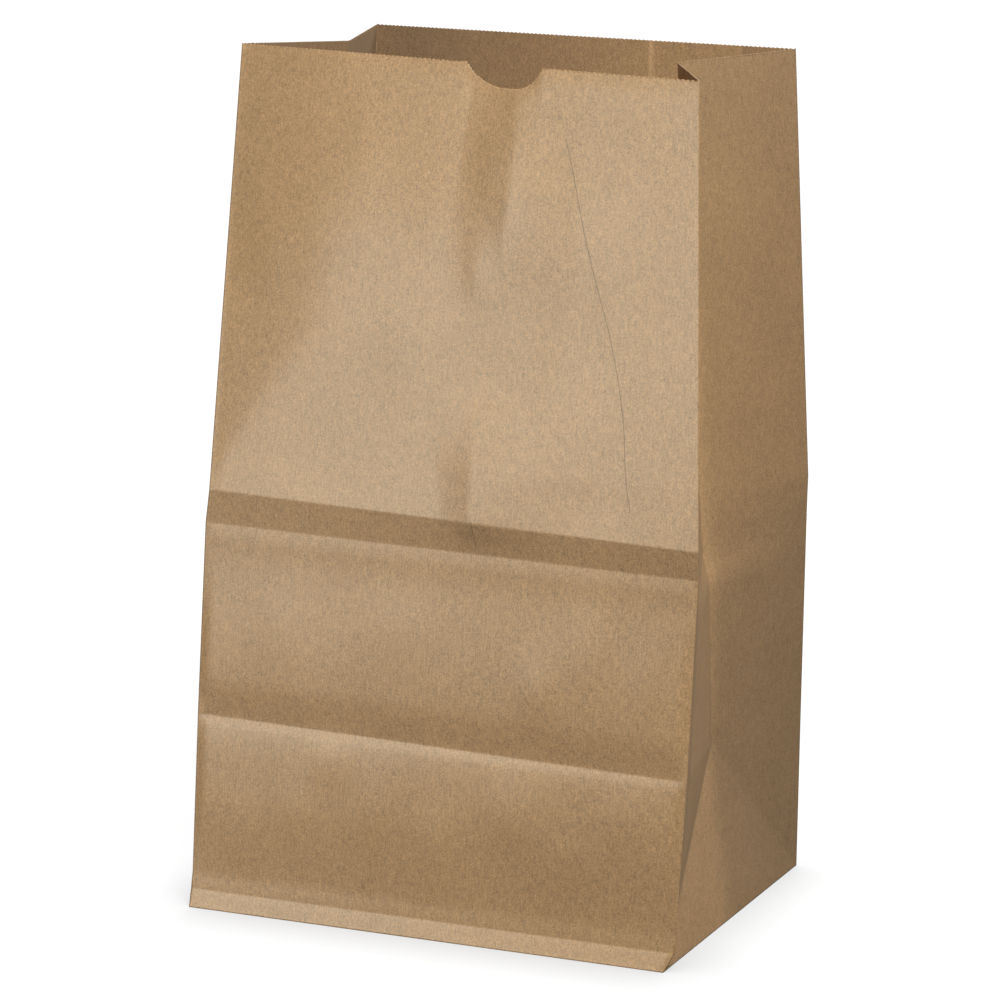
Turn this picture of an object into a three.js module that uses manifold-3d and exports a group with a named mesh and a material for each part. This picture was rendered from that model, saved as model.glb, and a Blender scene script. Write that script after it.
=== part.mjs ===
// Brown paper lunch bag, standing open.
// A self-opening bag is one sheet of kraft paper: a glued tube with a front, a back and two
// gusseted sides, whose lower end is folded flat into a rectangular base.
// Millimetres, +Z up. The bag stands on z = 0 and its front faces -Y.

import * as THREE from "three";
import { mergeVertices } from "three/addons/utils/BufferGeometryUtils.js";
import Module from "manifold-3d";

const wasm = await Module();
wasm.setup();
const { Manifold, Mesh: SolidMesh } = wasm;

// Overall sizes
const WIDTH = 203.5;
const DEPTH = 152;
const HEIGHT = 338.3;
const PAPER = 0.12;

// Horizontal folds of the front, by height
const FOOT_HEIGHT = 7.4;
const FRONT_CREASE = DEPTH / 2 + 1.6;
const BAND_LOW = DEPTH + 3.3;
const BAND_HIGH = BAND_LOW + 12.3;
const CREASE_RISE = 1.2;
const BAND_LOW_RISE = 0.8;
const BAND_HIGH_RISE = 2;
const TOP_RISE = 2;

// Thumb notch in the front's top edge
const NOTCH_WIDTH = 34;
const NOTCH_DEPTH = 10;
const NOTCH_CENTRE = 0.6;

// Saw-cut mouth
const TOOTH_PITCH = 2;
const TOOTH_DEPTH = 0.7;

// Glued seam down the back, as fractions of the width from the left
const SEAM_START = 0.6;
const SEAM_END = 0.67;
const SEAM_RAMP = 0.01;

// Base flaps meet with this overlap along the middle
const FLAP_LAP = 19;
const LAP_GROOVE = 0.4;

// How finely the panels are divided
const FRONT_COLUMNS = 10;
const FOOT_TO_CREASE_ROWS = 3;
const CREASE_TO_BAND_ROWS = 4;
const BAND_TO_TOP_ROWS = 7;

// Upright lines of the tube: four edges and the middle fold of each gusset. Each has its height
// at every horizontal fold, and stations where it is shifted in x and y from a plain box,
// because the paper leans and bows between its folds.
const HALF = DEPTH / 2;
const APEX_HEIGHT = HALF - 4.7;
const BACK_LEVELS = [0, FOOT_HEIGHT, HALF, BAND_LOW, BAND_HIGH, HEIGHT];
const FOLD_LEVELS = [0, FOOT_HEIGHT, APEX_HEIGHT, BAND_LOW, BAND_HIGH, HEIGHT - 1.5];
const LEFT_LEVELS = tiltedLevels(1);
const RIGHT_LEVELS = tiltedLevels(-1);

const LINES = {
  frontLeft: {
    side: [-1, -1],
    levels: LEFT_LEVELS,
    stations: [
      { z: 0, x: 2.1, y: -5 },
      { z: LEFT_LEVELS[1], x: 2.5, y: -3 },
      { z: LEFT_LEVELS[2], x: 4.2, y: -0.5 },
      { z: LEFT_LEVELS[3], x: 7.3, y: 1 },
      { z: LEFT_LEVELS[4], x: 9.7, y: -0.4 },
      { z: LEFT_LEVELS[5], x: 9.8, y: 28 },
    ],
  },
  frontRight: {
    side: [1, -1],
    levels: RIGHT_LEVELS,
    stations: [
      { z: 0, x: -2.4, y: 2.2 },
      { z: RIGHT_LEVELS[1], x: 1.3, y: 4.4 },
      { z: RIGHT_LEVELS[2], x: 6.4, y: -0.5 },
      { z: RIGHT_LEVELS[3], x: 10.4, y: -4.2 },
      { z: RIGHT_LEVELS[4], x: 11.1, y: -6.7 },
      { z: RIGHT_LEVELS[5], x: 3.6, y: 3 },
    ],
  },
  backRight: {
    side: [1, 1],
    levels: BACK_LEVELS,
    stations: [
      { z: 0, x: 0, y: 0 },
      { z: HALF, x: 1.4, y: -4.7 },
      { z: BAND_LOW, x: 3.3, y: -10.4 },
      { z: BAND_HIGH, x: 3.4, y: -10.2 },
      { z: HEIGHT, x: -7.8, y: -8 },
    ],
  },
  backLeft: {
    side: [-1, 1],
    levels: BACK_LEVELS,
    stations: [
      { z: 0, x: 0, y: 0 },
      { z: HALF, x: 0.5, y: -3 },
      { z: BAND_LOW, x: 1.5, y: -5 },
      { z: BAND_HIGH, x: 1.5, y: -4.5 },
      { z: HEIGHT, x: -4.6, y: 28 },
    ],
  },
  rightFold: {
    side: [1, 0],
    levels: FOLD_LEVELS,
    stations: [
      { z: APEX_HEIGHT, x: -11.1, y: -1.8 },
      { z: BAND_LOW - 18, x: -10.8, y: -9.4 },
      { z: BAND_LOW - 8, x: -13.4, y: -10.5 },
      { z: HEIGHT - 1.5, x: -30.4, y: -4.7 },
    ],
  },
  leftFold: {
    side: [-1, 0],
    levels: FOLD_LEVELS,
    stations: [
      { z: APEX_HEIGHT, x: 13, y: -2 },
      { z: BAND_LOW, x: 16, y: -3 },
      { z: HEIGHT - 1.5, x: 18, y: 30 },
    ],
  },
};

// Heights of the horizontal folds at the front's left end (1) or right end (-1), because the
// folds rise a little towards the left
function tiltedLevels(end) {
  return [
    0,
    FOOT_HEIGHT,
    FRONT_CREASE + end * CREASE_RISE,
    BAND_LOW + end * BAND_LOW_RISE,
    BAND_HIGH + end * BAND_HIGH_RISE,
    HEIGHT + end * TOP_RISE,
  ];
}

// Rows are listed by the share of the way between two folds, so every edge has its own heights.
const rows = makeRows();
const creaseRow = rows.findIndex((row) => row.fold === 2 && row.share === 0);
const lastRow = rows.length - 1;

function makeRows() {
  const counts = [1, FOOT_TO_CREASE_ROWS, CREASE_TO_BAND_ROWS, 1, BAND_TO_TOP_ROWS];
  const list = [];
  counts.forEach((count, fold) => {
    for (let step = 0; step < count; step += 1) {
      list.push({ fold, share: step / count });
    }
  });
  list.push({ fold: counts.length, share: 0 });
  return list;
}

// Height of a row on a line whose folds are at the given heights
function rowHeight(row, levels) {
  const low = levels[row.fold];
  const high = levels[Math.min(row.fold + 1, levels.length - 1)];
  return THREE.MathUtils.lerp(low, high, row.share);
}

function linePoint(name, row) {
  const { side, levels, stations } = LINES[name];
  const z = rowHeight(row, levels);
  let k = 0;
  while (k < stations.length - 2 && z > stations[k + 1].z) {
    k += 1;
  }
  const span = stations[k + 1].z - stations[k].z;
  const share = Math.max((z - stations[k].z) / span, 0);
  const x = THREE.MathUtils.lerp(stations[k].x, stations[k + 1].x, share);
  const y = THREE.MathUtils.lerp(stations[k].y, stations[k + 1].y, share);
  return new THREE.Vector3(side[0] * WIDTH / 2 + x, side[1] * DEPTH / 2 + y, z);
}

function makeGusset(frontName, backName, foldName) {
  const front = rows.map((row) => linePoint(frontName, row));
  const back = rows.map((row) => linePoint(backName, row));
  const fold = rows.map((row) => linePoint(foldName, row));
  return { front, back, fold, apex: fold[creaseRow] };
}

// One row of a gusset from its front edge to its back edge. Below the apex the two slanting
// folds run down from it to the bottom corners, and the columns follow them.
function gussetRow(gusset, j) {
  const { front, back, fold, apex } = gusset;
  const points = [];
  const count = creaseRow;
  for (let i = 0; i <= 2 * count; i += 1) {
    const fromEdge = i <= count ? i : 2 * count - i;
    const edge = i <= count ? front : back;
    if (j >= creaseRow) {
      points.push(edge[j].clone().lerp(fold[j], columnShare(fromEdge)));
      continue;
    }
    const share = columnShare(j);
    const frontSlant = front[0].clone().lerp(apex, share);
    const backSlant = back[0].clone().lerp(apex, share);
    const slant = i <= count ? frontSlant : backSlant;
    if (fromEdge <= j) {
      const across = j === 0 ? 0 : columnShare(fromEdge) / share;
      points.push(edge[j].clone().lerp(slant, across));
      continue;
    }
    const s = i <= count ? columnShare(fromEdge) : 2 - columnShare(fromEdge);
    const across = (s - share) / (2 - 2 * share);
    points.push(frontSlant.clone().lerp(backSlant, across));
  }
  return points;
}

// Share of the way from a gusset's edge to its middle at which column i stands
function columnShare(i) {
  const row = rows[i];
  return rowHeight(row, [0, FOOT_HEIGHT, HALF]) / HALF;
}

function panelRow(from, to, shares) {
  return shares.map((share) => from.clone().lerp(to, share));
}

function evenShares(count) {
  return Array.from({ length: count + 1 }, (_, i) => i / count);
}

// Columns of the back, from right to left, with a pair at each edge of the glued lap
const STEP_SHARE = 0.1 / WIDTH;
const backShares = [
  0, 0.11, 0.22,
  1 - SEAM_END - SEAM_RAMP, 1 - SEAM_END - STEP_SHARE, 1 - SEAM_END,
  1 - SEAM_START - STEP_SHARE, 1 - SEAM_START, 0.6, 0.8, 1,
];

// Extra thickness of the lap on the outside and the inside of the back
function lapOutside(share) {
  const fromLeft = 1 - share;
  const stepped = fromLeft > SEAM_START + STEP_SHARE / 2 && fromLeft < SEAM_END + STEP_SHARE * 2;
  return stepped ? PAPER : 0;
}

function lapInside(share) {
  const fromLeft = 1 - share;
  const stepped = fromLeft > SEAM_END + STEP_SHARE / 2 && fromLeft < SEAM_END + STEP_SHARE * 2;
  return stepped ? -PAPER : 0;
}

// Rings of points round the tube, row by row. Going round, the order is front from left to
// right, right side, back from right to left, and left side back to the start.
function makeRings() {
  const right = makeGusset("frontRight", "backRight", "rightFold");
  const left = makeGusset("frontLeft", "backLeft", "leftFold");
  return rows.map((row, j) => {
    const rightRow = gussetRow(right, j);
    const leftRow = gussetRow(left, j).reverse();
    const front = panelRow(left.front[j], right.front[j], evenShares(FRONT_COLUMNS));
    const back = panelRow(right.back[j], left.back[j], backShares);
    return [...front.slice(0, -1), ...rightRow.slice(0, -1), ...back.slice(0, -1), ...leftRow.slice(0, -1)];
  });
}

// Quads below the top strip as pairs of triangles. The diagonals follow the slanting folds.
function ringTriangles(columns) {
  const triangles = [];
  const sideCount = 2 * creaseRow;
  const rightStart = FRONT_COLUMNS;
  const leftStart = columns - sideCount;
  for (let j = 0; j < lastRow - 1; j += 1) {
    for (let i = 0; i < columns; i += 1) {
      const next = (i + 1) % columns;
      const a = j * columns + i;
      const b = j * columns + next;
      const c = a + columns;
      const d = b + columns;
      const inRight = i >= rightStart && i < rightStart + sideCount;
      const place = inRight ? i - rightStart : i - leftStart;
      const rising = place < creaseRow;
      if (rising) {
        triangles.push([a, b, d], [a, d, c]);
      } else {
        triangles.push([a, b, c], [b, d, c]);
      }
    }
  }
  return triangles;
}

// Points of the mouth's edge, column by column, with a tooth's valley between each pair of tips
function makeTeeth(top) {
  return top.map((tip, i) => {
    const next = top[(i + 1) % top.length];
    const count = Math.floor(tip.distanceTo(next) / TOOTH_PITCH);
    const chain = [tip];
    for (let k = 1; k < 2 * count; k += 1) {
      const point = tip.clone().lerp(next, k / (2 * count));
      point.z -= k % 2 === 1 ? TOOTH_DEPTH : 0;
      chain.push(point);
    }
    return chain;
  });
}

// The top strip joins the last plain row to the teeth. first[i] is the index of column i's tip.
function stripTriangles(columns, teeth, first) {
  const triangles = [];
  const below = (lastRow - 1) * columns;
  teeth.forEach((chain, i) => {
    const next = (i + 1) % columns;
    const edge = [...chain.map((_, k) => first[i] + k), first[next]];
    const middle = Math.floor(edge.length / 2);
    triangles.push([below + i, below + next, edge[middle]]);
    for (let k = 0; k + 1 < edge.length; k += 1) {
      const foot = k < middle ? below + i : below + next;
      triangles.push([foot, edge[k + 1], edge[k]]);
    }
  });
  return triangles;
}

// Offset of each point that keeps the paper's thickness square to the faces that meet there
function offsetDirections(points, triangles) {
  const sums = points.map(() => new THREE.Vector3());
  const weights = points.map(() => 0);
  for (const corners of triangles) {
    const [p, q, r] = corners.map((k) => points[k]);
    const normal = q.clone().sub(p).cross(r.clone().sub(p));
    if (normal.length() < 1e-9) {
      continue;
    }
    normal.normalize();
    corners.forEach((k, n) => {
      const u = points[corners[(n + 1) % 3]].clone().sub(points[k]);
      const w = points[corners[(n + 2) % 3]].clone().sub(points[k]);
      const angle = u.angleTo(w);
      sums[k].addScaledVector(normal, angle);
      weights[k] += angle;
    });
  }
  return sums.map((sum, k) => sum.multiplyScalar(weights[k] / sum.lengthSq()));
}

function makeTube() {
  const rings = makeRings();
  const columns = rings[0].length;
  const teeth = makeTeeth(rings[lastRow]);
  const body = rings.slice(0, lastRow).flat();
  const first = [];
  teeth.reduce((index, chain) => {
    first.push(index);
    return index + chain.length;
  }, body.length);
  const outer = [...body, ...teeth.flat()];
  const columnOf = [...body.map((_, k) => k % columns), ...teeth.flatMap((chain, i) => chain.map(() => i))];
  const triangles = [...ringTriangles(columns), ...stripTriangles(columns, teeth, first)];
  const directions = offsetDirections(outer, triangles);
  for (let k = 0; k < columns; k += 1) {
    directions[k].z = 0;
  }
  const backStart = FRONT_COLUMNS + 2 * creaseRow;
  const shareOf = (k) => backShares[columnOf[k] - backStart] ?? 1;
  const positions = [];
  const place = (k, distance) => {
    const point = outer[k].clone().addScaledVector(directions[k], distance);
    positions.push(point.x, point.y, point.z);
  };
  outer.forEach((_, k) => place(k, lapOutside(shareOf(k))));
  outer.forEach((_, k) => place(k, -PAPER - lapInside(shareOf(k))));
  const shift = outer.length;
  const faces = [...triangles, ...triangles.map(([a, b, c]) => [a + shift, c + shift, b + shift])];
  const mouth = outer.length - body.length;
  for (let k = 0; k < mouth; k += 1) {
    const a = body.length + k;
    const b = body.length + (k + 1) % mouth;
    faces.push([a, b, shift + b], [a, shift + b, shift + a]);
  }
  for (let a = 0; a < columns; a += 1) {
    const b = (a + 1) % columns;
    faces.push([a, shift + b, b], [a, shift + a, shift + b]);
  }
  return solidFrom(positions, faces.flat());
}

function solidFrom(positions, indices) {
  const mesh = new SolidMesh({
    numProp: 3,
    vertProperties: new Float32Array(positions),
    triVerts: new Uint32Array(indices),
  });
  mesh.merge();
  return new Manifold(mesh);
}

// A prism between two heights over an outline given as points [x, y] in order
function prism(outline, low, high) {
  const shape = new THREE.Shape(outline.map(([x, y]) => new THREE.Vector2(x, y)));
  const geometry = new THREE.ExtrudeGeometry(shape, { depth: high - low, bevelEnabled: false });
  geometry.translate(0, 0, low);
  return solidFromGeometry(geometry);
}

function solidFromGeometry(geometry) {
  const plain = new THREE.BufferGeometry();
  plain.setAttribute("position", geometry.getAttribute("position"));
  if (geometry.index) {
    plain.setIndex(geometry.index);
  }
  const welded = mergeVertices(plain, 1e-5);
  return solidFrom(Array.from(welded.getAttribute("position").array), Array.from(welded.index.array));
}

// A point of the base from plain box coordinates, carried to where the four corners stand
function basePoint(x, y) {
  const inset = PAPER / 2;
  const a = THREE.MathUtils.clamp(x / WIDTH + 0.5, 0, 1);
  const b = THREE.MathUtils.clamp(y / DEPTH + 0.5, 0, 1);
  const corner = (name) => {
    const { side, stations } = LINES[name];
    const cx = side[0] * (WIDTH / 2 - inset) + stations[0].x;
    const cy = side[1] * (DEPTH / 2 - inset) + stations[0].y;
    return new THREE.Vector2(cx, cy);
  };
  const front = corner("frontLeft").lerp(corner("frontRight"), a);
  const back = corner("backLeft").lerp(corner("backRight"), a);
  const point = front.lerp(back, b);
  return [point.x, point.y];
}

// The folded base. Outermost are the front and back flaps with slanting ends, then the
// tucked corners, and innermost a flap from each side.
function makeBase() {
  const w = WIDTH / 2;
  const d = DEPTH / 2;
  const lap = FLAP_LAP / 2;
  const reach = d + lap;
  const tip = w - reach;
  const carry = (outline) => outline.map(([x, y]) => basePoint(x, y));
  const frontFlap = carry([[-w, -d], [w, -d], [tip, lap], [-tip, lap]]);
  const slantAt = w - (d - lap - LAP_GROOVE);
  const backFlap = carry([[-w, d], [-slantAt, lap + LAP_GROOVE], [slantAt, lap + LAP_GROOVE], [w, d]]);
  const middle = carry([[-tip, -lap], [tip, -lap], [tip, lap + 2], [-tip, lap + 2]]);
  const leftFlap = carry([[-w, -d], [-tip, -d], [-tip, d], [-w, d]]);
  const rightFlap = carry([[tip, -d], [w, -d], [w, d], [tip, d]]);
  return [
    prism(frontFlap, 0, PAPER),
    prism(backFlap.reverse(), 0, PAPER),
    prism(middle, PAPER, 2 * PAPER),
    prism(leftFlap, PAPER, 3 * PAPER),
    prism(rightFlap, PAPER, 3 * PAPER),
  ];
}

// The notch's outline, wide at the paper's edge and round at the bottom
function makeNotch() {
  const half = NOTCH_WIDTH / 2;
  const shape = new THREE.Shape();
  shape.moveTo(-half - 2, NOTCH_DEPTH + 10);
  shape.lineTo(-half - 1, NOTCH_DEPTH);
  shape.quadraticCurveTo(-half * 0.62, 0, 0, 0);
  shape.quadraticCurveTo(half * 0.62, 0, half + 1, NOTCH_DEPTH);
  shape.lineTo(half + 2, NOTCH_DEPTH + 10);
  const geometry = new THREE.ExtrudeGeometry(shape, { depth: DEPTH / 3, bevelEnabled: false, curveSegments: 8 });
  const frontTop = [linePoint("frontLeft", rows[lastRow]), linePoint("frontRight", rows[lastRow])];
  const centre = frontTop[0].clone().lerp(frontTop[1], NOTCH_CENTRE);
  const along = frontTop[1].clone().sub(frontTop[0]);
  geometry.translate(0, 0, -DEPTH / 6);
  geometry.rotateX(Math.PI / 2);
  geometry.rotateY(-Math.atan2(along.z, along.x));
  geometry.rotateZ(Math.atan2(along.y, along.x));
  geometry.translate(centre.x, centre.y, centre.z - NOTCH_DEPTH);
  return solidFromGeometry(geometry);
}

function makeBag() {
  const bag = Manifold.union([makeTube(), ...makeBase()]);
  return bag.subtract(makeNotch());
}

function geometryFrom(solid) {
  const mesh = solid.getMesh();
  const geometry = new THREE.BufferGeometry();
  geometry.setAttribute("position", new THREE.BufferAttribute(new Float32Array(mesh.vertProperties), 3));
  geometry.setIndex(new THREE.BufferAttribute(new Uint32Array(mesh.triVerts), 1));
  geometry.computeVertexNormals();
  return geometry;
}

const kraft = new THREE.MeshStandardMaterial({ name: "kraft_paper", color: 0xb08d5f, roughness: 0.85, metalness: 0 });

const bag = new THREE.Mesh(geometryFrom(makeBag()), kraft);
bag.name = "bag";

const object = new THREE.Group();
object.name = "paper_lunch_bag";
object.add(bag);

export default object;
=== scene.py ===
import math

import bpy
import numpy as np
from mathutils import Matrix, Vector


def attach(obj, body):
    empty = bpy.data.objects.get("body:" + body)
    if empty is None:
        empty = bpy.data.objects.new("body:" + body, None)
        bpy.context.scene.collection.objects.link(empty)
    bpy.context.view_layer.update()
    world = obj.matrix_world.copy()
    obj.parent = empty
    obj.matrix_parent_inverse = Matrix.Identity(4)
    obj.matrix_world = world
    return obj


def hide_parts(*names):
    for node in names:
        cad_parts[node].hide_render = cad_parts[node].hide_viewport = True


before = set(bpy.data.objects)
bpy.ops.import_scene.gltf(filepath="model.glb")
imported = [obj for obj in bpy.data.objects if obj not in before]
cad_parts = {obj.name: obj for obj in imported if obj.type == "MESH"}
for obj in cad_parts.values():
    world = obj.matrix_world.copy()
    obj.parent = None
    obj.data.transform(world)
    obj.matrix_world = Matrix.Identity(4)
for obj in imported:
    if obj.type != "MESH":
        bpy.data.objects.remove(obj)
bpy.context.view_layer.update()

# Sizes in metres, the same frame as the CAD: +Z up, the front faces -Y
MM = 0.001
WIDTH = 203.5 * MM
DEPTH = 152 * MM
HEIGHT = 338.3 * MM
PAPER = 0.12 * MM
HALF = DEPTH / 2

# Heights of the horizontal folds at the middle of the front
FOOT = 7.4 * MM
CREASE = HALF + 1.6 * MM
BAND_LOW = DEPTH + 3.3 * MM
BAND_HIGH = BAND_LOW + 12.3 * MM

# How far each level of the front rises to the left edge and falls to the right edge
RISES = np.array([0, 0, 1.2, 0.8, 2.0, 2.0]) * MM

# Spacing of the mesh across the panels, up them above the crease, and close beside each fold
GRID = 2.0 * MM
UPPER_GRID = 3.4 * MM
FOLD_SOFTNESS = 0.5 * MM

# The back's glued lap as shares of the width from the left, and the width of its edges' slopes
SEAM_START = 0.60
SEAM_END = 0.67
SEAM_SLOPE = 0.1 * MM / WIDTH
SEAM_CLEARANCE = 0.003

# The base: how far its flaps overlap, the gap between the outer two, and the inner one's overhang
FLAP_LAP = 19 * MM
FLAP_GAP = 0.4 * MM
FLAP_OVERHANG = 2 * MM

# The saw-cut mouth: only pieces of the edge that are wide enough have a tooth's valley
TOOTH_DEPTH = 0.7 * MM
TOOTH_LEAST_PITCH = 1.2 * MM

# Thumb notch as shares of the width: its ends and the ends of its flat bottom
NOTCH_LEFT = 0.517
NOTCH_FLAT_START = 0.6
NOTCH_FLAT_END = 0.63
NOTCH_RIGHT = 0.685
NOTCH_MARGIN = 0.01
NOTCH_DEPTH = 8.8 * MM
NOTCH_REACH = 30 * MM
NOTCH_ROUNDNESS = (1.9, 0.7)

# The most that a sharp corner of the mesh stretches the paper's thickness
MITRE_LIMIT = 3

# Heights of the horizontal folds on each upright line
MOUTH_DIP = 1.5 * MM
APEX = HALF - 4.7 * MM
BACK_LEVELS = [0, FOOT, HALF, BAND_LOW, BAND_HIGH, HEIGHT]
FOLD_LEVELS = [0, FOOT, APEX, BAND_LOW, BAND_HIGH, HEIGHT - MOUTH_DIP]
FRONT_LEVELS = np.array([0, FOOT, CREASE, BAND_LOW, BAND_HIGH, HEIGHT])
LEFT_LEVELS = FRONT_LEVELS + RISES
RIGHT_LEVELS = FRONT_LEVELS - RISES

# Upright lines: the side they stand on, their levels, and their stations. A station is a height
# and the shift there in millimetres, in x and y, from a plain box.
FRONT_LEFT = (
    (-1, -1),
    LEFT_LEVELS,
    [
        (0, 2.1, -5.0),
        (LEFT_LEVELS[1], 2.5, -3.0),
        (LEFT_LEVELS[2], 4.2, -0.5),
        (LEFT_LEVELS[3], 7.3, 1.0),
        (LEFT_LEVELS[4], 9.7, -0.4),
        (LEFT_LEVELS[5], 9.8, 28.0),
    ],
)
FRONT_RIGHT = (
    (1, -1),
    RIGHT_LEVELS,
    [
        (0, -2.4, 2.2),
        (RIGHT_LEVELS[1], 1.3, 4.4),
        (RIGHT_LEVELS[2], 6.4, -0.5),
        (RIGHT_LEVELS[3], 10.4, -4.2),
        (RIGHT_LEVELS[4], 11.1, -6.7),
        (RIGHT_LEVELS[5], 3.6, 3.0),
    ],
)
BACK_RIGHT = (
    (1, 1),
    BACK_LEVELS,
    [
        (0, 0, 0),
        (HALF, 1.4, -4.7),
        (BAND_LOW, 3.3, -10.4),
        (BAND_HIGH, 3.4, -10.2),
        (HEIGHT, -7.8, -8.0),
    ],
)
BACK_LEFT = (
    (-1, 1),
    BACK_LEVELS,
    [
        (0, 0, 0),
        (HALF, 0.5, -3.0),
        (BAND_LOW, 1.5, -5.0),
        (BAND_HIGH, 1.5, -4.5),
        (HEIGHT, -4.6, 28.0),
    ],
)
RIGHT_FOLD = (
    (1, 0),
    FOLD_LEVELS,
    [
        (APEX, -11.1, -1.8),
        (BAND_LOW - 18 * MM, -10.8, -9.4),
        (BAND_LOW - 8 * MM, -13.4, -10.5),
        (HEIGHT - MOUTH_DIP, -30.4, -4.7),
    ],
)
LEFT_FOLD = (
    (-1, 0),
    FOLD_LEVELS,
    [
        (APEX, 13.0, -2.0),
        (BAND_LOW, 16.0, -3.0),
        (HEIGHT - MOUTH_DIP, 18.0, 30.0),
    ],
)

# From here to the looks all values are in millimetres, with x from the front's left edge.
# The ridge from the mouth down to the left edge: (height, place of its crest), then its height
LEFT_CREST = [(181, 4), (206, 20), (236, 43), (282, 45), (340, 46)]
LEFT_RIDGE = 6.8
LEFT_RIDGE_SPAN = (160, 280)
LEFT_SAG = 2.4
LEFT_SAG_SPAN = (275, 340)
LEFT_FALL = 110
LEFT_ROUNDNESS = 0.42

# The ridge from the notch's right foot down to the dent in the band
MIDDLE_CREST = [(168, 112.3), (206, 114.4), (268, 125.4), (291, 128.4), (332, 131.3)]
MIDDLE_LOWER = [(158, 0), (168, 1.5), (186, 1.9), (214, 0.3)]
MIDDLE_LOWER_END = 214
MIDDLE_UPPER = 3.9
MIDDLE_UPPER_SPAN = (232, 294)
MIDDLE_LEFT_FLANK = [(168, 12), (206, 18), (262, 24), (340, 21)]
MIDDLE_RIGHT_SHARE = 3
MIDDLE_CREST_RADIUS = 0.12
MIDDLE_HOLLOW = 0.35

# The worn creases: bulges above and below the front's crease, then its groove
ABOVE_CREASE = 1.3
ABOVE_CREASE_REACH = 16
ABOVE_CREASE_FADE = (6, 50)
BELOW_CREASE = 1.5
BELOW_CREASE_REACH = 9
BELOW_CREASE_SPAN = (10, 50)
CREASE_GROOVE = 0.25
CREASE_HALF_WIDTH = 2.5

# The lip under the band, the bent edge of the mouth and the rounded top of the foot
LIP = 0.3
LIP_REACH = 3.5
LIP_FADE = 16
MOUTH_BEND = 0.35
MOUTH_BEND_REACH = 3.5
FOOT_BEND = 0.4
FOOT_BEND_HEIGHT = 7.4

# The front's relief fades out near its upright edges, as a share of the width, and at the foot
EDGE_FADE = 0.02
FOOT_FADE_SPAN = (7, 19)

# Shallow swellings of the front: centre (x, z), radii in x and z, and height
SWELLINGS = [
    ((128, 238), (12, 14), 0.25),
    ((136, 222), (9, 20), 0.35),
    ((118, 300), (7, 12), 0.3),
    ((113, 262), (6, 14), 0.5),
    ((96, 278), (9, 22), 0.4),
    ((84, 222), (12, 26), 0.35),
    ((62, 300), (10, 26), 0.3),
    ((182, 300), (12, 24), 0.45),
    ((172, 250), (10, 26), 0.35),
    ((20, 262), (10, 14), 0.4),
    ((160, 188), (34, 5), 0.18),
    ((142, 104), (8, 13), 0.7),
    ((161, 120), (12, 18), 0.5),
    ((186, 112), (8, 20), 0.4),
    ((84, 122), (14, 12), 0.3),
    ((34, 116), (10, 18), 0.35),
    ((58, 66), (9, 10), 0.5),
    ((44, 44), (8, 14), 0.45),
    ((78, 50), (9, 16), 0.5),
    ((104, 36), (9, 20), 0.55),
    ((136, 56), (14, 12), 0.6),
    ((156, 38), (12, 14), 0.5),
    ((182, 58), (12, 12), 0.5),
    ((22, 32), (9, 16), 0.4),
]

# Painted shade: thin dark lines along creases and small nicks on the front, (x from the middle, z) from
# the lowest point up, and the strength
LONG_CREASE = [
    (85.2, 177.6),
    (82.6, 191.6),
    (80.9, 209.6),
    (75.0, 237.5),
    (69.3, 255.5),
    (62.6, 277.4),
    (58.2, 295.4),
    (53.6, 312.4),
]
PAINTED_CREASE_SHADE = [
    (LONG_CREASE, 0.45),
    ([(-46.0, 331.0), (-46.4, 338.0)], 0.15),
    ([(48.2, 330.0), (47.8, 338.0)], 0.15),
    ([(22.4, 158.0), (21.2, 168.0)], 0.45),
]
MARK_HALF_WIDTH = 0.12
MARK_SOFTNESS = 2.2
MARK_MARGIN = 2

# Looks of the paper, with places in metres
KRAFT_COLOUR = (0.52, 0.315, 0.148)
PAPER_ROUGHNESS = 0.4
INSIDE_ROUGHNESS = 0.45
SHEEN_LEVEL = 1.0
SHEEN_TINT = (0.95, 1.0, 0.9, 1.0)
GRAIN_BUMP = 0.17
GRAIN_HEIGHT = 0.0002
FRONT_LIMIT = -0.03

# Mottle of the paper: grains to the metre, detail, stretch and weight
PLAIN = (1, 1, 1)
ALONG_FIBRES = (1, 1, 0.14)
MOTTLE = [
    (1500, 3.0, PLAIN, 1.1),
    (3600, 1.0, PLAIN, 1.0),
    (1800, 2.0, ALONG_FIBRES, 0.6),
    (320, 1.0, PLAIN, 0.22),
    (30, 2.0, PLAIN, 0.2),
]

# The faint slanting weave of the front's right half
WEAVE_SCALE = 95.0
WEAVE_DISTORTION = 1.2
WEAVE_DETAIL = 1.0
WEAVE_WEIGHT = 0.035
WEAVE_START = -0.01
WEAVE_END = 0.05
WEAVE_LIMIT = -0.06

# Dark specks: cells to the metre, radii of a speck in cells, and the least draw that has one
SPECK_SCALE = 120.0
SPECK_INNER = 0.03
SPECK_OUTER = 0.06
SPECK_DARKNESS = 0.45
SPECK_DRAW = 0.7

# Painted shade: the inner face is darker towards the left
INSIDE_LEFT = -0.09
INSIDE_RIGHT = 0.04
INSIDE_LOSS = -0.44

# Painted light and shade: the right side is a little lighter before its middle fold and darker behind
# it
SIDE_START = 0.07
SIDE_FRONT = -0.067
SIDE_FOLD = -0.012
SIDE_LIGHTER = 0.2
SIDE_LIGHTER_END = 0.0
SIDE_LOW_SPAN = (0.02, 0.08)
SIDE_LOW_SHARE = 0.2
SIDE_DARKER = -0.16
SIDE_DARKER_END = 0.004
SIDE_REAR_DARKER = -0.13
SIDE_REAR = 0.075
SIDE_FADE_SPAN = (0.1, 0.2)
SIDE_UPPER_SHARE = 0.65

# The floor: what it gives back to the object, its own white, and how its shadow is lifted
FLOOR_SIZE = 6
FLOOR_BOUNCE = 0.12
FLOOR_WHITE = 0.9
CONTACT_REACH = 0.035
CONTACT_SAMPLES = 8
CONTACT_SHADE = 0.6
CONTACT_LEAST = 0.48
SHADOW_LIFT = 0.85
SHADOW_SPAN = (0.3, 0.6)

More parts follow.
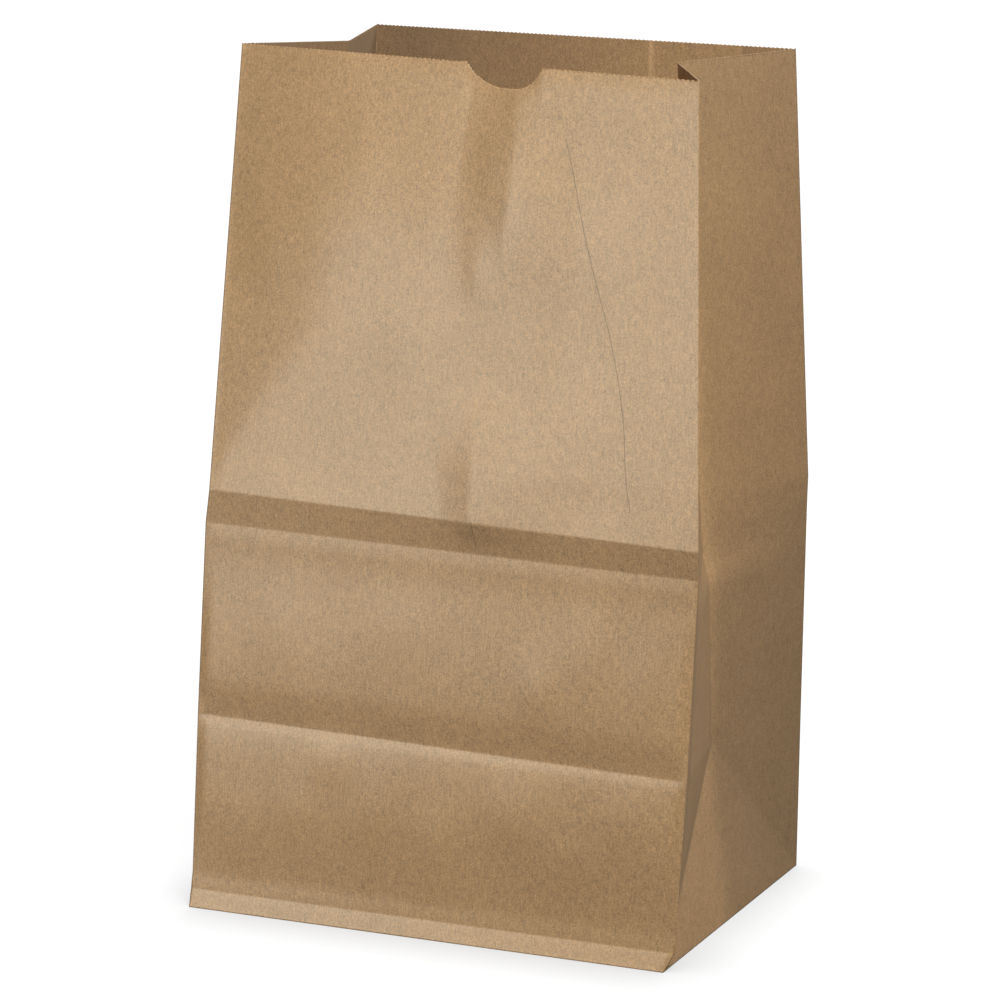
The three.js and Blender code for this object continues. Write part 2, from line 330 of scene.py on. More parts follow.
# The studio: the even light all round, then each lamp's place, target, size and power in watts
FILL = 0.13
FRONT_TARGET = (0, -0.08, 0.17)
MIDDLE_TARGET = (0, 0, 0.17)
MOUTH_TARGET = (0, 0, 0.3)
LAMPS = [
    ("key", (0.98, -1.09, 1.85), FRONT_TARGET, 0.9, 46),
    ("sheen", (-0.63, -1.39, 0.2), FRONT_TARGET, 0.38, 4.7),
    ("side", (1.5, 1.0, 0.9), MIDDLE_TARGET, 0.8, 2),
    ("back", (-0.2, 1.6, 1.6), MOUTH_TARGET, 1.2, 28),
]

# The camera that lines the model up with the photo: focal length and centre in its pixels,
# place in metres, and its turn to the left, down and about its own axis in degrees
PHOTO_SIZE = 1000
FOCAL = 3503.2
CENTRE = (501.2, 499.4)
CAMERA_PLACE = (0.5392, -1.2575, 0.4408)
CAMERA_TURN = (23.26, 11.6, 0.7)
SENSOR_WIDTH = 36
CAMERA_REACH = 50


def smooth(t):
    """An even rise from 0 to 1."""
    t = np.clip(t, 0, 1)
    return t * t * (3 - 2 * t)


def ease(value, span):
    """An even rise from 0 to 1 over a span of values."""
    return smooth((value - span[0]) / (span[1] - span[0]))


def bump(x, centre, half_width):
    """A rounded hump of height 1 that falls to 0 at half_width on both sides."""
    t = np.clip(np.abs(x - centre) / half_width, 0, 1)
    return (1 - t * t) ** 2


def mix(a, b, t):
    return a + (b - a) * t


def steps_between(length, grid=GRID):
    """Shares of the way over a panel: a close pair of lines at each fold, an even grid between."""
    near = FOLD_SOFTNESS / length
    count = max(1, round((1 - 2 * near) * length / grid))
    inner = np.linspace(near, 1 - near, count + 1)
    return np.concatenate([[0.0], inner])


def make_rows():
    """The mesh's rows from the floor up: the fold below each, and its share of the way to the next."""
    rows = []
    for fold in range(len(BACK_LEVELS) - 1):
        grid = GRID if BACK_LEVELS[fold] < HALF else UPPER_GRID
        for share in steps_between(BACK_LEVELS[fold + 1] - BACK_LEVELS[fold], grid):
            rows.append((fold, share))
    rows.append((len(BACK_LEVELS) - 2, 1.0))
    return rows


ROWS = make_rows()
FOLD_OF_ROW = np.array([r[0] for r in ROWS])
SHARE_OF_ROW = np.array([r[1] for r in ROWS])
CREASE_ROW = int(np.argmax(FOLD_OF_ROW == BACK_LEVELS.index(HALF)))
LAST_ROW = len(ROWS) - 1


def row_heights(levels):
    """Height of each row on a line with these levels."""
    levels = np.array(levels)
    low = levels[FOLD_OF_ROW]
    return low + (levels[FOLD_OF_ROW + 1] - low) * SHARE_OF_ROW


def upright_line(line):
    """Points of an upright line of the tube, one for each row."""
    side, levels, stations = line
    z = row_heights(levels)
    heights, across, along_depth = np.array(stations, float).T
    x = side[0] * WIDTH / 2 + np.interp(z, heights, across) * MM
    y = side[1] * DEPTH / 2 + np.interp(z, heights, along_depth) * MM
    return np.stack([x, y, z], axis=1)


# A side panel has a column for each row below the crease, on both sides of its middle fold
COLUMN_SHARES = row_heights(BACK_LEVELS)[: CREASE_ROW + 1] / HALF


def gusset_row(front, back, fold, apex, j):
    """One row of a side panel. Below the apex the slanting folds pass through the columns."""
    count = CREASE_ROW
    row = []
    share = COLUMN_SHARES[min(j, count)]
    front_slant = mix(front[0], apex, share)
    back_slant = mix(back[0], apex, share)
    for i in range(2 * count + 1):
        from_edge = min(i, 2 * count - i)
        edge = front if i <= count else back
        c = COLUMN_SHARES[from_edge]
        if j >= count:
            row.append(mix(edge[j], fold[j], c))
        elif from_edge <= j:
            slant = front_slant if i <= count else back_slant
            row.append(mix(edge[j], slant, 0 if j == 0 else c / share))
        else:
            s = c if i <= count else 2 - c
            row.append(mix(front_slant, back_slant, (s - share) / (2 - 2 * share)))
    return row


def panel_shares(width):
    return np.concatenate([steps_between(width), [1.0]])


def front_shares():
    """From left to right, with columns twice as close along the notch."""
    shares = panel_shares(WIDTH)
    middles = (shares[1:] + shares[:-1]) / 2
    extra = middles[(middles > NOTCH_LEFT - NOTCH_MARGIN) & (middles < NOTCH_RIGHT + NOTCH_MARGIN)]
    return np.sort(np.concatenate([shares, extra]))


def back_shares():
    """From right to left, with a close pair of columns at each edge of the glued lap."""
    edges = [1 - SEAM_END, 1 - SEAM_START]
    marks = edges + [edge - SEAM_SLOPE for edge in edges]
    shares = [s for s in panel_shares(WIDTH) if min(abs(s - m) for m in marks) > SEAM_CLEARANCE]
    return np.array(sorted(shares + marks))


FRONT_SHARES = front_shares()
BACK_SHARES = back_shares()
N_FRONT = len(FRONT_SHARES) - 1
N_SIDE = 2 * CREASE_ROW
N_BACK = len(BACK_SHARES) - 1
COLUMNS = N_FRONT + N_BACK + 2 * N_SIDE


def make_rings():
    """Points of the paper's outer face, [row, column, xyz], going round from the front's left edge."""
    front_left = upright_line(FRONT_LEFT)
    front_right = upright_line(FRONT_RIGHT)
    back_right = upright_line(BACK_RIGHT)
    back_left = upright_line(BACK_LEFT)
    right_fold = upright_line(RIGHT_FOLD)
    left_fold = upright_line(LEFT_FOLD)
    right_apex = right_fold[CREASE_ROW]
    left_apex = left_fold[CREASE_ROW]
    rings = np.zeros((LAST_ROW + 1, COLUMNS, 3))
    for j in range(LAST_ROW + 1):
        front = mix(front_left[j], front_right[j], FRONT_SHARES[:-1, None])
        right = np.array(gusset_row(front_right, back_right, right_fold, right_apex, j))
        back = mix(back_right[j], back_left[j], BACK_SHARES[:-1, None])
        left = np.array(gusset_row(front_left, back_left, left_fold, left_apex, j))[::-1]
        rings[j] = np.concatenate([front, right[:-1], back, left[:-1]])
    return rings


def notch_drop(share):
    """How far the front's edge lies below its straight line at a share of the width."""
    left = (NOTCH_FLAT_START - share) / (NOTCH_FLAT_START - NOTCH_LEFT)
    right = (share - NOTCH_FLAT_END) / (NOTCH_RIGHT - NOTCH_FLAT_END)
    t = np.clip(np.maximum(left, right), 0, 1)
    along_edge, down = NOTCH_ROUNDNESS
    return NOTCH_DEPTH * (1 - t**along_edge) ** down


def cut_notch(rings):
    """Pulls the front's topmost rows down so that the last row follows the notch."""
    drop = notch_drop(FRONT_SHARES[:-1])
    top = rings[LAST_ROW, :N_FRONT, 2]
    for j in range(LAST_ROW + 1):
        below = top - rings[j, :N_FRONT, 2]
        rings[j, :N_FRONT, 2] -= drop * np.clip(1 - below / NOTCH_REACH, 0, 1)


def ring_normals(rings):
    """Unit normals of the rings, outwards."""
    du = np.roll(rings, -1, axis=1) - np.roll(rings, 1, axis=1)
    dv = np.gradient(rings, axis=0)
    n = np.cross(du, dv)
    length = np.linalg.norm(n, axis=2, keepdims=True)
    return n / np.maximum(length, 1e-12)


def soft_least(a, b, softness):
    """The lesser of two heights, rounded where they cross."""
    return (a + b - np.sqrt((a - b) ** 2 + softness**2)) / 2


def along(z, points):
    """A value that changes with height in straight steps between (height, value) points."""
    heights, values = zip(*points)
    return np.interp(z, heights, values)


def hump(x, z, centre, radii, height):
    """A rounded swelling of the panel."""
    u = (x - centre[0]) / radii[0]
    w = (z - centre[1]) / radii[1]
    return height * np.exp(-(u * u + w * w))


def left_ridge(x, z):
    """The soft ridge that runs from the mouth down to the left edge above the band."""
    crest = along(z, LEFT_CREST)
    height = LEFT_RIDGE * ease(z, LEFT_RIDGE_SPAN) - LEFT_SAG * ease(z, LEFT_SAG_SPAN)
    rise = height * x / crest
    fall = height * np.maximum(1 - (x - crest) / LEFT_FALL, 0)
    return soft_least(rise, fall, LEFT_ROUNDNESS * height)


def middle_ridge(x, z):
    """The ridge from the notch's right foot down to the dent in the band."""
    crest = along(z, MIDDLE_CREST)
    lower = along(z, MIDDLE_LOWER) * (z < MIDDLE_LOWER_END)
    upper = MIDDLE_UPPER * ease(z, MIDDLE_UPPER_SPAN)
    flank = along(z, MIDDLE_LEFT_FLANK)
    t = (x - crest) / np.where(x < crest, flank, MIDDLE_RIGHT_SHARE * flank)
    rounded = np.sqrt(t * t + MIDDLE_CREST_RADIUS**2)
    share = np.clip(1 + MIDDLE_CREST_RADIUS - rounded, 0, 1)
    return (lower + upper) * share * (1 - MIDDLE_HOLLOW * (1 - share))


def crease_lines(z, crease, band_low):
    """The paper bulges on both sides of the front's crease, which is a fine groove."""
    above = np.clip((z - crease) / ABOVE_CREASE_REACH, 0, 1)
    fade = (band_low - ABOVE_CREASE_FADE[0] - z) / ABOVE_CREASE_FADE[1]
    below = np.clip(crease - z, 0, None)
    out = ABOVE_CREASE * smooth(above) * smooth(fade)
    out += BELOW_CREASE * (1 - np.exp(-below / BELOW_CREASE_REACH)) * ease(z, BELOW_CREASE_SPAN)
    return out - CREASE_GROOVE * bump(z, crease, CREASE_HALF_WIDTH)


def edge_lines(z, band_low, top):
    """The lip under the band and the bent edge of the mouth."""
    under_band = np.clip(band_low - z, 0, None)
    lip = smooth(under_band / LIP_REACH) * smooth(1 - under_band / LIP_FADE) * (z < band_low)
    return LIP * lip - MOUTH_BEND * smooth((z - top) / MOUTH_BEND_REACH + 1)


def front_relief(a, z, levels):
    """How far the front stands out from the plain panel, in metres. a is the share of the width."""
    x = a * WIDTH / MM
    z = z / MM
    crease, band_low, top = (level / MM for level in levels)
    out = left_ridge(x, z) + middle_ridge(x, z)
    out += crease_lines(z, crease, band_low) + edge_lines(z, band_low, top)
    for centre, radii, height in SWELLINGS:
        out += hump(x, z, centre, radii, height)
    out *= smooth(a / EDGE_FADE) * smooth((1 - a) / EDGE_FADE) * ease(z, FOOT_FADE_SPAN)
    out += FOOT_BEND * bump(z, FOOT_BEND_HEIGHT, FOOT_BEND_HEIGHT)
    return out * MM


def add_relief(rings):
    """Moves the front's points out along their normals."""
    normals = ring_normals(rings)
    a = np.broadcast_to(FRONT_SHARES[None, :-1], (LAST_ROW + 1, N_FRONT))
    z = rings[:, :N_FRONT, 2]
    crease = mix(LEFT_LEVELS[2], RIGHT_LEVELS[2], a)
    band_low = mix(LEFT_LEVELS[3], RIGHT_LEVELS[3], a)
    top = rings[LAST_ROW, None, :N_FRONT, 2]
    out = front_relief(a, z, (crease, band_low, top))
    rings[:, :N_FRONT] += normals[:, :N_FRONT] * out[:, :, None]


def ring_triangles():
    """Triangles of the body of the tube. The diagonals follow the slanting folds."""
    j, i = np.meshgrid(np.arange(LAST_ROW), np.arange(COLUMNS), indexing="ij")
    a = j * COLUMNS + i
    b = j * COLUMNS + (i + 1) % COLUMNS
    c = a + COLUMNS
    d = b + COLUMNS
    right = N_FRONT
    left = COLUMNS - N_SIDE
    place = np.where((i >= right) & (i < right + N_SIDE), i - right, i - left)
    rising = (place < CREASE_ROW)[..., None]
    first = np.where(rising, np.stack([a, b, d], -1), np.stack([a, b, c], -1))
    second = np.where(rising, np.stack([a, d, c], -1), np.stack([b, d, c], -1))
    return np.concatenate([first.reshape(-1, 3), second.reshape(-1, 3)])


def split_at_valleys(triangles, wide, valley_index):
    """Splits the triangles under the mouth's edge at the valleys. Each ends in that edge's points."""
    top = LAST_ROW * COLUMNS
    column = np.where((triangles[:, 1:] >= top).all(axis=1), triangles[:, 2] - top, -1)
    split = (column >= 0) & wide[column]
    below, right, left = triangles[split].T
    valley = valley_index[column[split]]
    halves = [np.stack([right, valley, below], -1), np.stack([valley, left, below], -1)]
    return np.concatenate([triangles[~split]] + halves)


def offsets(points, triangles):
    """The direction at each point that keeps the paper's thickness square to its faces."""
    p, q, r = (points[triangles[:, k]] for k in range(3))
    normal = np.cross(q - p, r - p)
    normal /= np.maximum(np.linalg.norm(normal, axis=1, keepdims=True), 1e-15)
    total = np.zeros_like(points)
    weight = np.zeros(len(points))
    for k in range(3):
        here = points[triangles[:, k]]
        u = points[triangles[:, (k + 1) % 3]] - here
        w = points[triangles[:, (k + 2) % 3]] - here
        size = np.linalg.norm(u, axis=1) * np.linalg.norm(w, axis=1)
        angle = np.arccos(np.clip((u * w).sum(1) / np.maximum(size, 1e-15), -1, 1))
        np.add.at(total, triangles[:, k], normal * angle[:, None])
        np.add.at(weight, triangles[:, k], angle)
    length = np.maximum((total**2).sum(1), 1e-9)
    return total * np.minimum(weight / length, MITRE_LIMIT)[:, None]


def lap_offsets():
    """Extra thickness of the seam's lap, outside and inside, for each column."""
    outside = np.zeros(COLUMNS)
    inside = np.zeros(COLUMNS)
    first = N_FRONT + N_SIDE
    from_left = 1 - BACK_SHARES[:-1]
    before_end = from_left < SEAM_END + 2 * SEAM_SLOPE
    on_lap = (from_left > SEAM_START + SEAM_SLOPE / 2) & before_end
    on_edge = (from_left > SEAM_END + SEAM_SLOPE / 2) & before_end
    outside[first : first + N_BACK] = np.where(on_lap, PAPER, 0)
    inside[first : first + N_BACK] = np.where(on_edge, PAPER, 0)
    return outside, inside


def top_edge(rings):
    """The saw-cut edge: the last row's points, with a tooth's valley halfway between wide columns."""
    top = rings[LAST_ROW]
    following = np.roll(top, -1, axis=0)
    wide = np.linalg.norm(following - top, axis=1) > TOOTH_LEAST_PITCH
    valleys = (top + following) / 2 - np.array([0, 0, TOOTH_DEPTH])
    return wide, valleys


def rim_triangles(n, wide, valley_index):
    """Joins the outer face's lower and upper edges to those of the inner face, n points further on."""
    top = LAST_ROW * COLUMNS
    rim = []
    for i in range(COLUMNS):
        following = (i + 1) % COLUMNS
        rim += [(i, n + following, following), (i, n + i, n + following)]
        chain = [top + i, valley_index[i], top + following] if wide[i] else [top + i, top + following]
        for p, q in zip(chain, chain[1:]):
            rim += [(p, q, n + q), (p, n + q, n + p)]
    return np.array(rim)


def build_tube():
    """Points and triangles of the tube's paper, the outer face's points first."""
    rings = make_rings()
    cut_notch(rings)
    add_relief(rings)
    wide, valleys = top_edge(rings)
    points = rings.reshape(-1, 3)
    valley_index = len(points) + np.cumsum(wide) - 1
    points = np.concatenate([points, valleys[wide]])
    triangles = split_at_valleys(ring_triangles(), wide, valley_index)
    directions = offsets(points, triangles)
    directions[:COLUMNS, 2] = 0
    outside, inside = (
        np.concatenate([np.tile(extra, LAST_ROW + 1), extra[wide]])[:, None] for extra in lap_offsets()
    )
    outer = points + directions * outside
    inner = points - directions * (PAPER - inside)
    n = len(points)
    rim = rim_triangles(n, wide, valley_index)
    faces = np.concatenate([triangles, triangles[:, ::-1] + n, rim])
    return np.concatenate([outer, inner]), faces


def base_corner(line):
    """The foot of an upright line, half a paper's thickness in."""
    side, levels, stations = line
    height, across, along_depth = stations[0]
    x = side[0] * (WIDTH / 2 - PAPER / 2) + across * MM
    y = side[1] * (DEPTH / 2 - PAPER / 2) + along_depth * MM
    return np.array([x, y])


def base_point(x, y):
    """A point of the plain base, moved with the base's corners."""
    a = np.clip(x / WIDTH + 0.5, 0, 1)
    b = np.clip(y / DEPTH + 0.5, 0, 1)
    front = mix(base_corner(FRONT_LEFT), base_corner(FRONT_RIGHT), a)
    back = mix(base_corner(BACK_LEFT), base_corner(BACK_RIGHT), a)
    return mix(front, back, b)


def base_flaps():
    """Outlines of the base's layers from the floor up, each with its lower and upper height."""
    w = WIDTH / 2
    d = DEPTH / 2
    lap = FLAP_LAP / 2
    tip = w - (d + lap)
    back_tip = w - (d - lap)
    edge = lap + FLAP_GAP
    end = lap + FLAP_OVERHANG
    t = PAPER
    return [
        ([(-w, -d), (w, -d), (tip, lap), (-tip, lap)], 0, t),
        ([(-w, d), (-back_tip, edge), (back_tip, edge), (w, d)], 0, t),
        ([(-tip, -lap), (tip, -lap), (tip, end), (-tip, end)], t, 2 * t),
        ([(-w, -d), (-tip, -d), (-tip, d), (-w, d)], t, 3 * t),
        ([(tip, -d), (w, -d), (w, d), (tip, d)], t, 3 * t),
    ]


def build_base():
    """Points and faces of the base's flaps, each a thin prism."""
    points = []
    faces = []
    for outline, low, high in base_flaps():
        ring = [base_point(x, y) for x, y in outline]
        area = sum(p[0] * q[1] - p[1] * q[0] for p, q in zip(ring, ring[1:] + ring[:1]))
        if area < 0:
            ring.reverse()
        start = len(points)
        n = len(ring)
        points += [(p[0], p[1], low) for p in ring] + [(p[0], p[1], high) for p in ring]
        faces.append(tuple(start + k for k in reversed(range(n))))
        faces.append(tuple(start + n + k for k in range(n)))
        for k in range(n):
            m = (k + 1) % n
            faces.append((start + k, start + m, start + n + m, start + n + k))
    return points, faces


def mesh_object(name, points, faces, material):
    mesh = bpy.data.meshes.new(name)
    mesh.from_pydata([tuple(p) for p in points], [], [tuple(int(k) for k in f) for f in faces])
    mesh.validate()
    mesh.update()
    obj = bpy.data.objects.new(name, mesh)
    bpy.context.scene.collection.objects.link(obj)
    mesh.materials.append(material)
    return obj


class Nodes:
    """A small helper that adds and links shader nodes."""

    def __init__(self, tree):
        self.tree = tree
        tree.nodes.clear()

    def add(self, kind, inputs=None, **values):
        node = self.tree.nodes.new(kind)
        for key, value in values.items():
            setattr(node, key, value)
        for key, value in (inputs or {}).items():
            socket = node.inputs[key]
            if isinstance(value, bpy.types.NodeSocket):
                self.tree.links.new(value, socket)
            else:
                socket.default_value = value
        return node

    def math(self, operation, *values):
        """The output of one Math node."""
        return self.add("ShaderNodeMath", dict(enumerate(values)), operation=operation).outputs[0]

    def ramp(self, value, start, end, low=0.0, high=1.0, **values):
        """low up to start, high from end on, and even between."""
        ends = {"From Min": start, "From Max": end, "To Min": low, "To Max": high}
        return self.add("ShaderNodeMapRange", {"Value": value, **ends}, **values).outputs[0]

    def weighted(self, parts):
        """The sum of (output, weight) pairs."""
        total = self.math("MULTIPLY", *parts[0])
        for part in parts[1:]:
            total = self.math("ADD", total, self.math("MULTIPLY", *part))
        return total

    def seen(self):
        """1 for rays from the camera, straight or through glass, and 0 for others."""
        path = self.add("ShaderNodeLightPath")
        return self.math(
            "MAXIMUM", path.outputs["Is Camera Ray"], path.outputs["Is Transmission Ray"]
        )


def noise(nodes, place, scale, detail, stretch):
    """Noise about 0 with the given number of grains to the metre."""
    mapping = nodes.add("ShaderNodeMapping", {"Vector": place, "Scale": stretch})
    field = nodes.add(
        "ShaderNodeTexNoise", {"Vector": mapping.outputs[0], "Scale": scale, "Detail": detail}
    )
    return nodes.math("SUBTRACT", field.outputs["Fac"], 0.5)


def line_centre(nodes, z, points):
    """The x of a line at a height. The line passes through (x, z) points in metres, lowest first."""
    low = points[0][1]
    high = points[-1][1]
    left = min(p[0] for p in points) - MARK_MARGIN * MM
    right = max(p[0] for p in points) + MARK_MARGIN * MM
    curve = nodes.add("ShaderNodeFloatCurve", {"Value": nodes.ramp(z, low, high)})
    path = curve.mapping.curves[0]
    places = [((pz - low) / (high - low), (px - left) / (right - left)) for px, pz in points]
    path.points[0].location = places[0]
    path.points[-1].location = places[-1]
    for place in places[1:-1]:
        path.points.new(*place)
    curve.mapping.update()
    return nodes.ramp(curve.outputs[0], 0.0, 1.0, left, right)


def front_line(nodes, x, y, z, points):
    """1 on a thin line over the front given by (x, z) points in millimetres, 0 elsewhere."""
    points = [(px * MM, pz * MM) for px, pz in points]
    half_width = MARK_HALF_WIDTH * MM
    offset = nodes.math("ABSOLUTE", nodes.math("SUBTRACT", x, line_centre(nodes, z, points)))
    near = nodes.ramp(offset, half_width, MARK_SOFTNESS * half_width, 1.0, 0.0)
    above = nodes.math("GREATER_THAN", z, points[0][1])
    below = nodes.math("LESS_THAN", z, points[-1][1])
    front = nodes.math("LESS_THAN", y, FRONT_LIMIT)
    within = nodes.math("MULTIPLY", above, below)
    return nodes.math("MULTIPLY", nodes.math("MULTIPLY", near, within), front)


def weave(nodes, place, x, y):
    """The slanting weave pressed into the front's right half, about 0."""
    flat = nodes.add("ShaderNodeMapping", {"Vector": place, "Scale": (1, 0, 1)})
    waves = nodes.add(
        "ShaderNodeTexWave",
        {
            "Vector": flat.outputs[0],
            "Scale": WEAVE_SCALE,
            "Distortion": WEAVE_DISTORTION,
            "Detail": WEAVE_DETAIL,
        },
        bands_direction="DIAGONAL",
    )
    on_right = nodes.ramp(x, WEAVE_START, WEAVE_END)
    on_front = nodes.math("MULTIPLY", on_right, nodes.math("LESS_THAN", y, WEAVE_LIMIT))
    return nodes.math("MULTIPLY", nodes.math("SUBTRACT", waves.outputs["Fac"], 0.5), on_front)


def specks_and_painted_crease_shade(nodes, place, x, y, z):
    """How dark the paper's specks are, and the painted shade along thin creases and small nicks."""
    cells = nodes.add(
        "ShaderNodeTexVoronoi", {"Vector": place, "Scale": SPECK_SCALE, "Randomness": 1.0}
    )
    speck = nodes.ramp(cells.outputs["Distance"], SPECK_INNER, SPECK_OUTER, SPECK_DARKNESS, 0.0)
    draw = nodes.add("ShaderNodeSeparateColor", {"Color": cells.outputs["Color"]})
    dark = nodes.math("MULTIPLY", speck, nodes.math("GREATER_THAN", draw.outputs[0], SPECK_DRAW))
    for points, strength in PAINTED_CREASE_SHADE:
        mark = nodes.math("MULTIPLY", front_line(nodes, x, y, z, points), strength)
        dark = nodes.math("MAXIMUM", dark, mark)
    return dark


def inside_painted_shade(nodes, x, inner):
    """Painted shade: the inner face is darker towards the left."""
    loss = nodes.ramp(x, INSIDE_LEFT, INSIDE_RIGHT, INSIDE_LOSS, 0.0)
    return nodes.math("MULTIPLY_ADD", inner, loss, 1.0)


def side_painted_light_and_shade(nodes, x, y, z):
    """Painted light and shade: the right side is lighter before its middle fold and darker behind it.
    """
    right = nodes.math("GREATER_THAN", x, SIDE_START)
    on_side = nodes.math("MULTIPLY", right, nodes.math("GREATER_THAN", y, SIDE_FRONT))
    before = nodes.math(
        "MULTIPLY",
        nodes.ramp(y, SIDE_FOLD, SIDE_LIGHTER_END, SIDE_LIGHTER, 0.0),
        nodes.ramp(z, *SIDE_LOW_SPAN, SIDE_LOW_SHARE, 1.0),
    )
    behind = nodes.math(
        "ADD",
        nodes.ramp(y, SIDE_FOLD, SIDE_DARKER_END, 0.0, SIDE_DARKER),
        nodes.ramp(y, 0.0, SIDE_REAR, 0.0, SIDE_REAR_DARKER),
    )
    fade = nodes.ramp(z, *SIDE_FADE_SPAN, 1.0, SIDE_UPPER_SHARE)
    tone = nodes.math("MULTIPLY", nodes.math("ADD", before, behind), fade)
    return nodes.math("MULTIPLY_ADD", tone, on_side, 1.0)


def kraft_material():
    material = bpy.data.materials.new("kraft_paper")
    material.use_nodes = True
    nodes = Nodes(material.node_tree)
    place = nodes.add("ShaderNodeTexCoord").outputs["Object"]
    x, y, z = nodes.add("ShaderNodeSeparateXYZ", {"Vector": place}).outputs
    mottle = nodes.weighted([(noise(nodes, place, *field), weight) for *field, weight in MOTTLE])
    grain = nodes.weighted([(mottle, 1.0), (weave(nodes, place, x, y), WEAVE_WEIGHT)])
    # dark holds the paper's specks and the painted shade along thin creases and small nicks
    dark = specks_and_painted_crease_shade(nodes, place, x, y, z)
    inner = nodes.add("ShaderNodeAttribute", attribute_name="inside").outputs["Fac"]
    value = nodes.math("ADD", grain, 1.0)
    value = nodes.math("MULTIPLY", value, nodes.math("SUBTRACT", 1.0, dark))
    # Painted shade: darker towards the left of the inner face
    value = nodes.math("MULTIPLY", value, inside_painted_shade(nodes, x, inner))
    # Painted light and shade on the right side, lighter before its middle fold and darker behind it
    value = nodes.math("MULTIPLY", value, side_painted_light_and_shade(nodes, x, y, z))
    colour = nodes.add(
        "ShaderNodeVectorMath", {0: KRAFT_COLOUR, "Scale": value}, operation="SCALE"
    )
    rough = nodes.math("MULTIPLY_ADD", inner, INSIDE_ROUGHNESS, PAPER_ROUGHNESS)
    bumps = nodes.add(
        "ShaderNodeBump", {"Height": grain, "Strength": GRAIN_BUMP, "Distance": GRAIN_HEIGHT}
    )
    shader = nodes.add(
        "ShaderNodeBsdfPrincipled",
        {
            "Base Color": colour.outputs[0],
            "Roughness": nodes.math("MAXIMUM", rough, dark),
            "Specular IOR Level": SHEEN_LEVEL,
            "Specular Tint": SHEEN_TINT,
            "Normal": bumps.outputs["Normal"],
        },
    )
    nodes.add("ShaderNodeOutputMaterial", {"Surface": shader.outputs["BSDF"]})
    return material


def grey(level):
    return (level, level, level, 1)


def floor_material():
    """White to the camera with the object's shadow; darker in the light that it returns."""
    material = bpy.data.materials.new("floor")
    material.use_nodes = True
    nodes = Nodes(material.node_tree)
    bright = nodes.add("ShaderNodeBsdfDiffuse", {"Color": grey(FLOOR_WHITE)})
    dim = nodes.add("ShaderNodeBsdfDiffuse", {"Color": grey(FLOOR_BOUNCE)})
    contact = nodes.add(
        "ShaderNodeAmbientOcclusion", {"Distance": CONTACT_REACH}, samples=CONTACT_SAMPLES
    )
    lifted = nodes.math("MULTIPLY_ADD", contact.outputs["AO"], CONTACT_SHADE, CONTACT_LEAST)
    white = nodes.add("ShaderNodeEmission", {"Color": grey(1), "Strength": lifted})
    place = nodes.add("ShaderNodeTexCoord").outputs["Object"]
    distance = nodes.add("ShaderNodeVectorMath", {0: place}, operation="LENGTH").outputs["Value"]
    far = nodes.ramp(
        distance, *SHADOW_SPAN, SHADOW_LIFT, 1.0, interpolation_type="SMOOTHSTEP"
    )
    shown = nodes.add("ShaderNodeMixShader", {0: far, 1: bright.outputs[0], 2: white.outputs[0]})
    mixed = nodes.add("ShaderNodeMixShader", {0: nodes.seen(), 1: dim.outputs[0], 2: shown.outputs[0]})
    nodes.add("ShaderNodeOutputMaterial", {"Surface": mixed.outputs[0]})
    return material


def make_world():
    """An even fill light that the camera sees as white."""
    world = bpy.data.worlds.new("studio")
    bpy.context.scene.world = world
    world.use_nodes = True
    nodes = Nodes(world.node_tree)
    fill = nodes.add("ShaderNodeBackground", {"Color": grey(1), "Strength": FILL})
    white = nodes.add("ShaderNodeBackground", {"Color": grey(1), "Strength": 1.0})
    mixed = nodes.add("ShaderNodeMixShader", {0: nodes.seen(), 1: fill.outputs[0], 2: white.outputs[0]})
    nodes.add("ShaderNodeOutputWorld", {"Surface": mixed.outputs[0]})


def area_light(name, place, target, size, power):
    data = bpy.data.lights.new(name, "AREA")
    data.shape = "SQUARE"
    data.size = size
    data.energy = power
    light = bpy.data.objects.new(name, data)
    bpy.context.scene.collection.objects.link(light)
    light.location = place
    direction = Vector(target) - Vector(place)
    light.rotation_euler = direction.to_track_quat("-Z", "Y").to_euler()


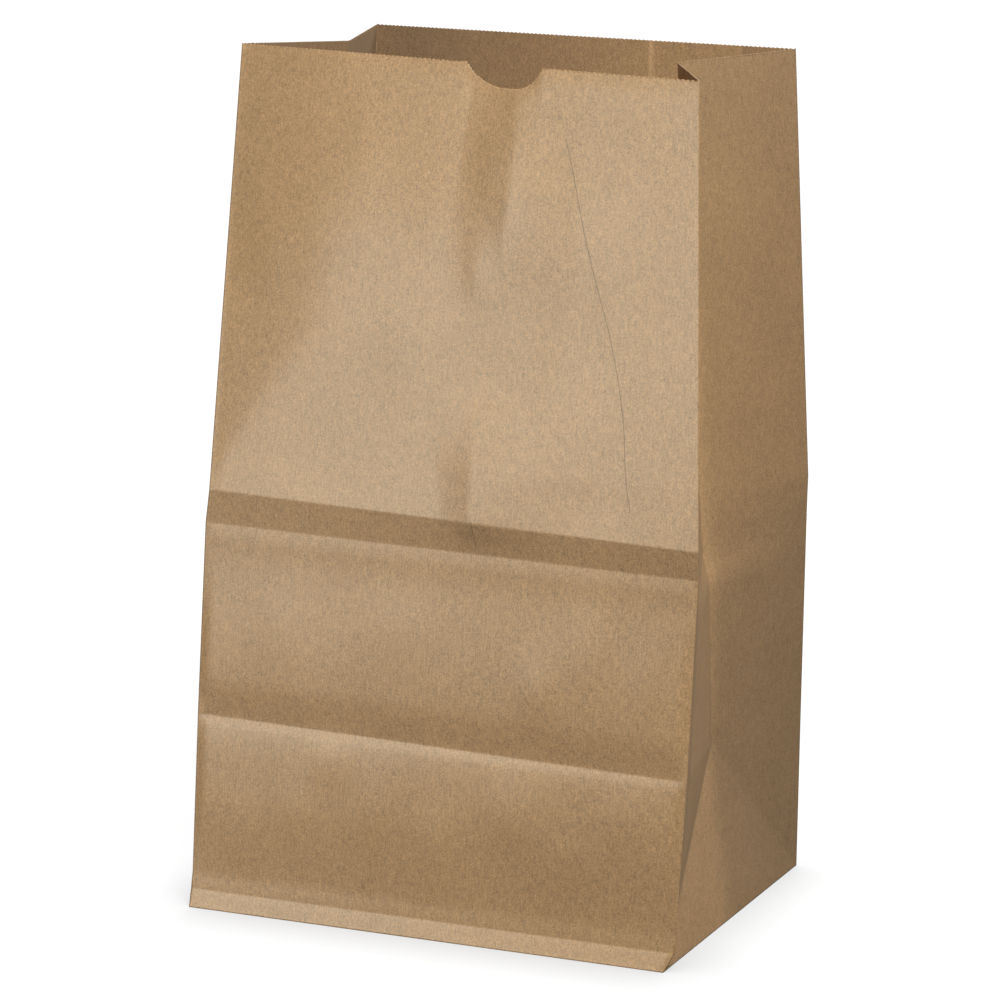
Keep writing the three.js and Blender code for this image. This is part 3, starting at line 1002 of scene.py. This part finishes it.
def camera_matrix():
    """The camera's place and axes, from its turns to the left, down and about its own axis."""
    yaw, pitch, roll = (math.radians(v) for v in CAMERA_TURN)
    level = math.cos(pitch)
    forward = Vector((-math.sin(yaw) * level, math.cos(yaw) * level, -math.sin(pitch)))
    right = Vector((math.cos(yaw), math.sin(yaw), 0))
    up = right.cross(forward)
    rolled_right = right * math.cos(roll) + up * math.sin(roll)
    rolled_up = up * math.cos(roll) - right * math.sin(roll)
    matrix = Matrix((rolled_right, rolled_up, -forward)).transposed().to_4x4()
    matrix.translation = Vector(CAMERA_PLACE)
    return matrix


def make_camera():
    """The camera at the photo's viewing angle."""
    data = bpy.data.cameras.new("camera")
    data.sensor_fit = "HORIZONTAL"
    data.sensor_width = SENSOR_WIDTH
    data.lens = FOCAL * SENSOR_WIDTH / PHOTO_SIZE
    data.shift_x = (PHOTO_SIZE / 2 - CENTRE[0]) / PHOTO_SIZE
    data.shift_y = (CENTRE[1] - PHOTO_SIZE / 2) / PHOTO_SIZE
    data.clip_end = CAMERA_REACH
    camera = bpy.data.objects.new("camera", data)
    bpy.context.scene.collection.objects.link(camera)
    camera.matrix_world = camera_matrix()
    bpy.context.scene.camera = camera


def build_bag():
    """The tube and its base as one piece. The attribute marks the inner face's points."""
    tube_points, tube_faces = build_tube()
    base_points, base_faces = build_base()
    start = len(tube_points)
    points = [tuple(p) for p in tube_points] + base_points
    faces = [tuple(f) for f in tube_faces] + [tuple(start + k for k in f) for f in base_faces]
    bag = mesh_object("paper_bag", points, faces, kraft_material())
    smooth_flags = [True] * len(tube_faces) + [False] * len(base_faces)
    bag.data.polygons.foreach_set("use_smooth", smooth_flags)
    inside = np.zeros(len(points), dtype=np.float32)
    inside[start // 2 : start] = 1.0
    bag.data.attributes.new("inside", "FLOAT", "POINT").data.foreach_set("value", inside)
    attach(bag, "root")
    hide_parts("bag")


def build_studio():
    """The floor, the lights and the camera."""
    far = FLOOR_SIZE
    corners = [(-far, -far, 0), (far, -far, 0), (far, far, 0), (-far, far, 0)]
    floor = mesh_object("floor", corners, [(0, 1, 2, 3)], floor_material())
    make_world()
    for lamp in LAMPS:
        area_light(*lamp)
    make_camera()
    bpy.context.scene.view_settings.view_transform = "Standard"


build_bag()
build_studio()
